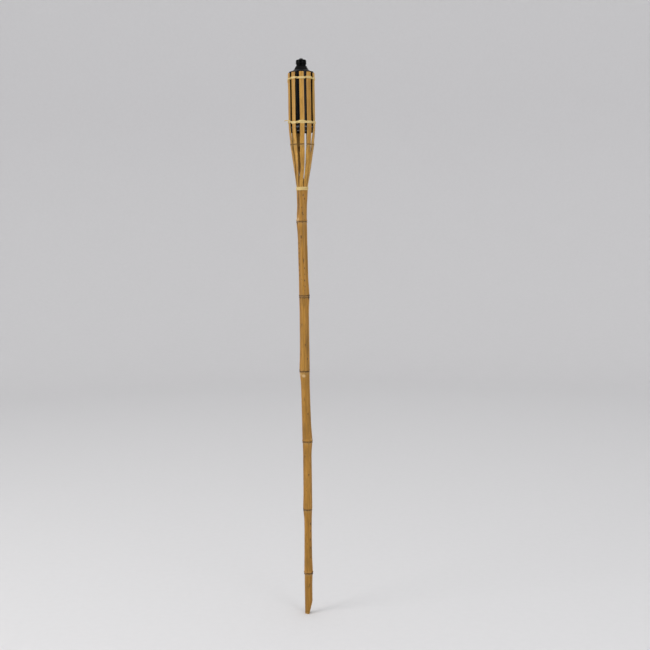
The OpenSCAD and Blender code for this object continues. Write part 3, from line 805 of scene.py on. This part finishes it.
def make_strand(name, node, z_mid, first_side, heights, lifts, gap_h, twist_off, number):
    """One of the two twined strands of a lashing: outside one slat, inside the next, pinched where it
    crosses its partner. heights and lifts are its width on each slat and how far it was laid above or below
    the middle, gap_h its width where it is pinched, and twist_off how far it passes from the middle
    there."""
    stations = []
    n = len(SLATS)
    bear = [slat_bearing(i, z_mid) for i in range(n)]
    hug = [math.degrees(math.asin(WIDTHS[i] / 2 / HUG_R)) + 1.0 for i in range(n)]
    r_out, r_in = BASKET_R + 0.5, BASKET_R - SLAT_T - 0.52
    for i in range(n):
        side = first_side * (1 if i % 2 == 0 else -1)
        j = (i + 1) % n
        start, end = bear[i] + hug[i], bear[j] + (360 if j == 0 else 0) - hug[j]
        own_h = heights[i] if side > 0 else heights[i] * 0.8
        next_h = heights[j] if side < 0 else heights[j] * 0.8
        for s in (-1, -0.66, -0.33, 0, 0.33, 0.66):                 # across the slat
            r = r_out + 0.12 * (1 - s * s) if side > 0 else r_in
            p = polar(bear[i] + s * hug[i], r, z_mid + lifts[i])
            stations.append((p, outward(p), own_h * (1 - 0.12 * abs(s) ** 3), STRAND_T))
        for k in range(8):                                          # and through the gap to the next
            t = k / 8
            swing, bow = math.cos(math.pi * t), math.sin(math.pi * t)
            r = (r_out + r_in) / 2 + side * swing * (r_out - r_in) / 2
            lift = lifts[i] * (1 - ease(t)) + lifts[j] * ease(t)
            wide = (own_h if t < 0.5 else next_h) * 0.88
            p = polar(start + (end - start) * t, r, z_mid + lift + side * twist_off * bow)
            lean = (outward(p) + UP * (0.45 * side * bow)).normalized()
            width = gap_h + (wide - gap_h) * abs(swing) ** 3
            stations.append((p, lean, width, STRAND_T + 0.25 * (1 - abs(swing))))
    cane_strip(name, stations, [node], number, loop=True)


def curve_through(points, steps=6):
    """Points along a smooth curve through the given ones."""
    pts = [points[0]] + list(points) + [points[-1]]
    out = []
    for k in range(1, len(pts) - 2):
        p0, p1, p2, p3 = pts[k - 1:k + 3]
        for q in range(steps):
            t = q / steps
            out.append(0.5 * ((2 * p1) + (p2 - p0) * t + (2 * p0 - 5 * p1 + 4 * p2 - p3) * t * t
                              + (3 * p1 - p0 - 3 * p2 + p3) * t ** 3))
    return out + [points[-1]]


def make_tail(name, points, width, thick, number, taper=0.55):
    """A loose end of cane along a smooth curve, narrowing over its last half by the taper."""
    path = curve_through(points)
    n = len(path)
    stations = []
    for k, p in enumerate(path):
        share = k / (n - 1)
        stations.append((p, outward(p), width * (1 - taper * max(0, share - 0.5) * 2), thick))
    cane_strip(name, stations, [], number)


# Each lashing's width on each slat, how far it is laid above or below its middle there, its width where it
# is pinched, how far the strands pass from the middle there, and its first number
UPPER_LASHING = ([4.9, 5.0, 4.6, 4.3, 4.6, 4.2, 4.4, 4.7, 4.4, 4.3],
                 [0.6, 1.6, 0.3, 0.0, 0.3, -0.2, 0.1, 0.4, -0.4, 1.2], 2.3, 1.05, 11)
LOWER_LASHING = ([7.2, 5.8, 6.4, 5.2, 5.8, 5.4, 5.0, 5.6, 5.4, 5.2],
                 [-0.2, -0.8, -0.8, 0.4, -0.3, 0.2, -0.4, 0.5, 0.3, -1.4], 2.6, 1.5, 21)


def middle_z(node):
    """Height of the middle of a CAD node."""
    low, high = span(node)
    return (low.z + high.z) / 2


def make_lashings():
    """Both lashings, each of two strands, and the ends of their knots."""
    upper_z, lower_z = middle_z("upper_lashing_a"), middle_z("lower_lashing_a")
    for letter, side in (("a", 1), ("b", -1)):
        for where, z_mid, lashing in (("upper", upper_z, UPPER_LASHING), ("lower", lower_z, LOWER_LASHING)):
            heights, lifts, gap_h, twist_off, number = lashing
            make_strand(f"cane_{where}_strand_{letter}", f"{where}_lashing_{letter}", z_mid, side, heights,
                        lifts, gap_h, twist_off, number + side)
    r = BASKET_R + 1.0
    # Upper knot: the last turn is laid over the slat on the left and its end hangs down
    make_tail("cane_upper_knot", [
        polar(-52, r - 0.6, upper_z + 0.4), polar(-60, r, upper_z - 0.4), polar(-68, r + 0.3, upper_z - 1.8),
        polar(-75, r + 0.3, upper_z - 4.2), polar(-80, r + 0.4, upper_z - 8.0)], 3.0, 0.8, 31)
    # Lower knot: one end crosses over the slat, the other sticks out to the left
    make_tail("cane_lower_knot", [
        polar(-44, r - 1.2, lower_z - 1.6), polar(-52, r - 0.2, lower_z + 0.2),
        polar(-60, r + 0.2, lower_z + 2.6), polar(-68, r + 0.2, lower_z + 3.6),
        polar(-77, r - 0.4, lower_z + 2.2)], 2.6, 0.8, 33, taper=0.3)
    make_tail("cane_lower_tail", [
        polar(-66, r, lower_z + 3.0), polar(-76, r + 0.8, lower_z + 3.9), polar(-83, r + 3.4, lower_z + 4.4),
        polar(-86, r + 6.0, lower_z + 4.2), polar(-88, r + 7.6, lower_z + 3.0)], 1.7, 0.7, 35, taper=0.5)


def make_neck_binding():
    """Flat cane wound three times round the neck, each turn tight against the last, its end tucked
    under."""
    low, high = span("neck_binding")
    turns, steps, overlap = 3, 64, 6
    turn_h = (high.z - low.z) / (turns + 0.08)
    stations = []
    for k in range(turns * steps + overlap):
        share = k / steps
        level_z = low.z + turn_h * (0.54 + min(turns - 1, max(0.0, share - 0.5)))
        r = NECK_R + 0.5 - 0.35 * ease(1 - share * 8) - 0.5 * ease((share - turns + 0.04) * 14)
        p = polar(150 + 360 * share, r, level_z)
        stations.append((p + Vector((NECK_X, 0, 0)), outward(p), turn_h * 1.02, 0.85))
    cane_strip("cane_neck_binding", stations, ["neck_binding"], 41)


# ------------------------------------------------------------------------------------------------ canister

TIN_T = 0.35                                    # thickness of the tinplate, as drawn
CAN_R = span("can_body")[1].x
RIM_Z = span("can_top")[0].z + 3.0              # top of the canister's upper seam
FILLER_R = 11.0                                 # outside of the filler neck, under its thread
ROUND = 128                                     # points round the pieces that show


def painted_edge_highlights(outline, heights):
    """Where a painted highlight lies along a turned skin: strongest at the given heights."""
    row = [max(math.exp(-((z - at) / 0.6) ** 2) for at in heights) for r, z in outline]
    return {"rubbed": [row] * ROUND}


def make_canister():
    """The tin: a wall that is necked in at its foot, and two ends folded on with double seams."""
    low, high = span("can_bottom")
    z0 = low.z
    foot_r = high.x
    foot_in = foot_r - 0.55
    top_z = span("can_top")[0].z
    wall = softened([
        (foot_in - TIN_T, z0 + 1.4), (foot_in, z0 + 1.4), (foot_in, z0 + 7.6), (CAN_R, z0 + 11.2),
        (CAN_R, z0 + 12.8), (CAN_R, top_z + 2.2), (CAN_R - TIN_T, top_z + 2.2), (CAN_R - TIN_T, z0 + 11.6),
        (foot_in - TIN_T, z0 + 7.8)], 0.7)
    # painted highlight along the top of the neck-in bevel
    mesh_piece("tin_wall", *turned(wall, steps=ROUND), TIN, "canister", "black_tin", ["can_body"],
               painted_edge_highlights(wall, [z0 + 11.2]))
    # Bottom end: a rolled double seam, a countersunk edge, and two pressed rings that stiffen the panel
    panel = z0 + 3.3
    rings = [(9.0, 0.0), (10.0, 0.5), (11.4, 0.5), (12.4, 0.0), (18.6, 0.0), (19.4, -0.5), (20.6, -0.5),
             (21.4, 0.0)]
    inside = [(0.0, panel + TIN_T)] + [(r, panel + TIN_T + h) for r, h in rings]
    seam = [
        (foot_in - 0.4, panel + TIN_T), (foot_in - 0.4, z0 + 1.4), (foot_in, z0 + 1.4), (foot_in, z0 + 3.0),
        (foot_r - 0.1, z0 + 3.0), (foot_r, z0 + 1.5), (foot_r - 0.1, z0), (foot_in - 0.75, z0),
        (foot_in - 0.75, panel)]
    underside = [(r, panel + h) for r, h in reversed(rings)] + [(0.0, panel)]
    bottom = softened(inside + seam + underside, 0.3, closed=False)
    # painted highlight along the top of the bottom seam
    mesh_piece("tin_bottom_end", *turned(bottom, closed=False, steps=ROUND), TIN, "canister", "black_tin",
               ["can_bottom"], painted_edge_highlights(bottom, [z0 + 3.0]))
    # Top end: double seam, low shoulder with a pressed step, and the well round the filler neck
    rim_r = span("can_top")[1].x
    crown_z = span("can_top")[1].z
    well_r = span("filler_neck")[1].x + 2.2
    well_z = RIM_Z - 1.0
    top = softened([
        (CAN_R, top_z), (rim_r - 0.1, top_z), (rim_r, top_z + 1.4), (rim_r - 0.1, RIM_Z),
        (CAN_R - 1.05, RIM_Z), (CAN_R - 1.15, RIM_Z - 1.2), (CAN_R - 2.2, RIM_Z - 1.3),
        (CAN_R - 3.2, RIM_Z - 0.3), (well_r + 1.3, crown_z), (well_r + 0.2, crown_z), (well_r, crown_z - 0.6),
        (well_r, well_z), (FILLER_R, well_z), (FILLER_R, well_z - TIN_T), (well_r + TIN_T, well_z - TIN_T),
        (well_r + TIN_T, crown_z - 1.2), (CAN_R - 3.4, RIM_Z - 0.8), (CAN_R - 2.0, RIM_Z - 1.9),
        (CAN_R - TIN_T, RIM_Z - 1.9), (CAN_R - TIN_T, RIM_Z - 0.8), (CAN_R, RIM_Z - 0.8)], 0.3)
    mesh_piece("tin_top_end", *turned(top, steps=ROUND), TIN, "canister", "black_tin", ["can_top"])


# -------------------------------------------------------------------------------------------------- burner

THREAD_TURNS = 1.5
THREAD_PITCH = 3.0
THREAD_W = 1.1                  # width of the thread's ridge at its root
TUBE_OUT = 6.0                  # outside of the tube that holds the wick
CUP_R = span("drip_cup")[1].x


def screw_thread(root_r, crest_r, start=0.0):
    """A right-handed thread's ridge above the canister's rim, with round flanks, running out to nothing at
    both ends. It starts at that bearing in degrees."""
    steps = int(48 * THREAD_TURNS)
    w = THREAD_W
    rings = []
    for k in range(steps + 1):
        t = k / steps
        a = math.tau * THREAD_TURNS * t + math.radians(start)
        z = RIM_Z + THREAD_PITCH * THREAD_TURNS * t
        fade = ease(min(t, 1 - t) * THREAD_TURNS * 6)           # full height a sixth of a turn from each end
        crest = root_r + (crest_r - root_r) * max(0.06, fade)
        mid = root_r + (crest - root_r) * 0.8
        section = [(root_r, -w * 0.5), (mid, -w * 0.34), (crest, -w * 0.18), (crest, w * 0.18),
                   (mid, w * 0.34), (root_r, w * 0.5)]
        rings.append([(r * math.cos(a), r * math.sin(a), z + h) for r, h in section])
    return skin(rings)


def make_filler_neck():
    low, high = span("filler_neck")
    bore = FILLER_R - 1.0
    flange_r = FILLER_R + 2
    neck = softened([
        (bore, low.z), (flange_r, low.z), (flange_r, low.z + 0.65), (FILLER_R, low.z + 0.75),
        (FILLER_R, high.z), (bore, high.z)], 0.25)
    mesh_piece("threaded_filler_neck", *joined(turned(neck), screw_thread(FILLER_R - 0.1, FILLER_R + 0.9)),
               NECK_PAINT, "canister", "burner_steel", ["filler_neck"])


def make_gasket():
    low, high = span("neck_gasket")
    bore = 9.4
    ring = softened([(bore, low.z), (high.x, low.z), (high.x, high.z), (bore, high.z)], 0.3)
    mesh_piece("neck_gasket_ring", *turned(ring), RUBBER, "burner", "gasket_rubber", ["neck_gasket"])


def make_wick_holder():
    low, high = span("wick_holder")
    bore = TUBE_OUT - 0.8
    plate_z = low.z + 0.8
    holder = softened([
        (bore, low.z), (high.x, low.z), (high.x, plate_z), (TUBE_OUT + 0.5, plate_z),
        (TUBE_OUT, plate_z + 0.5), (TUBE_OUT, high.z - 0.5), (TUBE_OUT + 0.12, high.z - 0.2),
        (TUBE_OUT - 0.1, high.z), (bore, high.z)], 0.2)
    mesh_piece("wick_holder_tube", *turned(holder), NECK_PAINT, "burner", "burner_steel", ["wick_holder"])


def make_drip_cup():
    """The ring above the collar, with the spigot that the cap fits over."""
    low, high = span("drip_cup")
    step_z = high.z - 2.25
    spigot = CUP_R - 0.75
    cup = softened([
        (TUBE_OUT, low.z), (CUP_R - 0.7, low.z), (CUP_R - 0.3, low.z + 0.5), (CUP_R, low.z + 1.0),
        (CUP_R, step_z - 0.1), (spigot, step_z - 0.05), (spigot, high.z), (spigot - 0.7, high.z),
        (spigot - 0.9, step_z + 0.4), (TUBE_OUT, step_z + 0.1)], 0.3)
    mesh_piece("drip_cup_ring", *turned(cup), CAP_PAINT, "burner", "burner_steel", ["drip_cup"])


def make_collar():
    """A cone with a rolled foot and a thread inside that takes the filler neck's."""
    low, high = span("screw_collar")
    base_r = high.x
    base_z = RIM_Z + 4.8
    bore = 12.3
    lip = TUBE_OUT + 0.4
    collar = softened([
        (lip, high.z - 2.6), (bore - 1.0, high.z - 3.8), (bore, high.z - 4.6), (bore, low.z),
        (bore + 1.1, low.z), (bore + 1.2, base_z - 0.6), (base_r - 0.2, base_z - 0.6), (base_r, base_z - 0.3),
        (base_r - 0.3, base_z + 0.15), (base_r - 1.0, base_z + 0.65), (CUP_R + 1.2, high.z - 0.9),
        (CUP_R - 0.5, high.z - 0.1), (CUP_R - 1.2, high.z), (lip, high.z)], 0.3)
    mesh_piece("conical_screw_collar",
               *joined(turned(collar, steps=ROUND), screw_thread(bore + 0.1, bore - 0.9, start=180)),
               COLLAR_PAINT, "collar", "burner_steel", ["screw_collar"])


def make_snuffer():
    """The cap: a drawn shell with a small knob on top and a flared lip."""
    low, high = span("snuffer_cap")
    lip_r = high.x
    r = lip_r - 0.55
    wall = 0.6
    shoulder = high.z - 2.5
    cap = softened([
        (0.0, high.z), (2.9, high.z - 0.1), (3.7, high.z - 0.6), (3.95, high.z - 1.5), (4.5, shoulder + 0.1),
        (r - 2.2, shoulder - 0.35), (r - 0.7, shoulder - 1.0), (r, shoulder - 2.3), (r, low.z + 2.6),
        (r + 0.1, low.z + 1.9), (lip_r - 0.1, low.z + 1.2), (lip_r, low.z + 0.6), (lip_r - 0.15, low.z),
        (r - wall, low.z), (r - wall, shoulder - 2.6), (r - 1.4, shoulder - 1.6), (r - 3, shoulder - 1.3),
        (0.0, shoulder - 1.2)], 0.45, closed=False)
    mesh_piece("snuffer_cap_shell", *turned(cap, closed=False, steps=ROUND), CAP_PAINT, "snuffer",
               "snuffer_enamel", ["snuffer_cap"])


def make_wick():
    """Round braid: yarns cross in two sets of spirals, and the burnt end is ragged."""
    low, high = span("wick")
    r = high.x - 0.15
    yarns, twist = 8, 1.3           # yarns in each set, and how far they turn, in radians for each millimetre
    angles = [math.tau * j / 48 for j in range(48)]
    count = int((high.z - low.z) / 0.8)
    rings, char = [], []
    for k in range(count + 1):
        z = low.z + (high.z - low.z) * k / count
        row = []
        for a in angles:
            ridge = 0.16 * max(math.cos(yarns * a + z * twist), math.cos(yarns * a - z * twist))
            row.append(((r + ridge) * math.cos(a), (r + ridge) * math.sin(a), z))
        rings.append(row)
        char.append([ease((z - high.z + 6) / 5)] * len(angles))
    for share in (0.85, 0.5, 0.2):
        rings.append([(r * share * math.cos(a), r * share * math.sin(a), high.z + dice.uniform(-0.5, 0.35))
                      for a in angles])
        char.append([1.0] * len(angles))
    points, faces = skin(rings)
    mesh_piece("braided_wick", points, faces, WICK, "wick", "wick_fibre", ["wick"], {"char": char},
               sharp_deg=60)


make_culm()
for index, slat_node in enumerate(SLATS):
    make_slat(index, slat_node)
make_neck_binding()
make_lashings()
make_canister()
make_filler_neck()
make_gasket()
make_wick_holder()
make_drip_cup()
make_collar()
make_snuffer()
make_wick()


# -------------------------------------------------------------------------------------------------- studio

def make_sweep():
    """A round floor of paper that curves up into a wall on every side, so that each view has a plain
    ground."""
    floor_r, curve_r, wall_h = 3.4, 1.6, 3.4
    outline = [(0.0, 0.0), (0.5, 0.0), (1.5, 0.0), (floor_r, 0.0)]
    outline += [(floor_r + curve_r * math.sin(a), curve_r * (1 - math.cos(a)))
                for a in np.linspace(0.08, math.pi / 2, 14)]
    outline.append((floor_r + curve_r, wall_h))
    points, faces = turned(outline, closed=False)
    mesh = bpy.data.meshes.new("paper_sweep")
    mesh.from_pydata([tuple(p) for p in points], [], faces)
    mesh.materials.append(paper_material())
    mesh.shade_smooth()
    sweep = bpy.data.objects.new("paper_sweep", mesh)
    bpy.context.scene.collection.objects.link(sweep)


def make_light():
    """Three soft boxes, warm from the left and cool from the right, in a pale room."""
    soft_box("key", (-2.6, -1.5, 1.7), (0, 0, 0.75), 1.5, 2.2, 45.0, (1.0, 0.985, 0.955))
    soft_box("fill", (1.7, -2.6, 1.5), (0, 0, 0.75), 1.2, 1.8, 25.0, (0.97, 0.985, 1.0))
    soft_box("top", (0.0, 0.0, 4.2), (0, 0, 0), 3.4, 3.4, 12.0, (1.0, 1.0, 1.0))
    world = bpy.data.worlds.new("studio_air")
    world.use_nodes = True
    back = world.node_tree.nodes["Background"]
    back.inputs["Color"].default_value = linear("#eff0ef")
    back.inputs["Strength"].default_value = 1.0
    bpy.context.scene.world = world
    bpy.context.scene.view_settings.view_transform = "Standard"


make_sweep()
make_light()
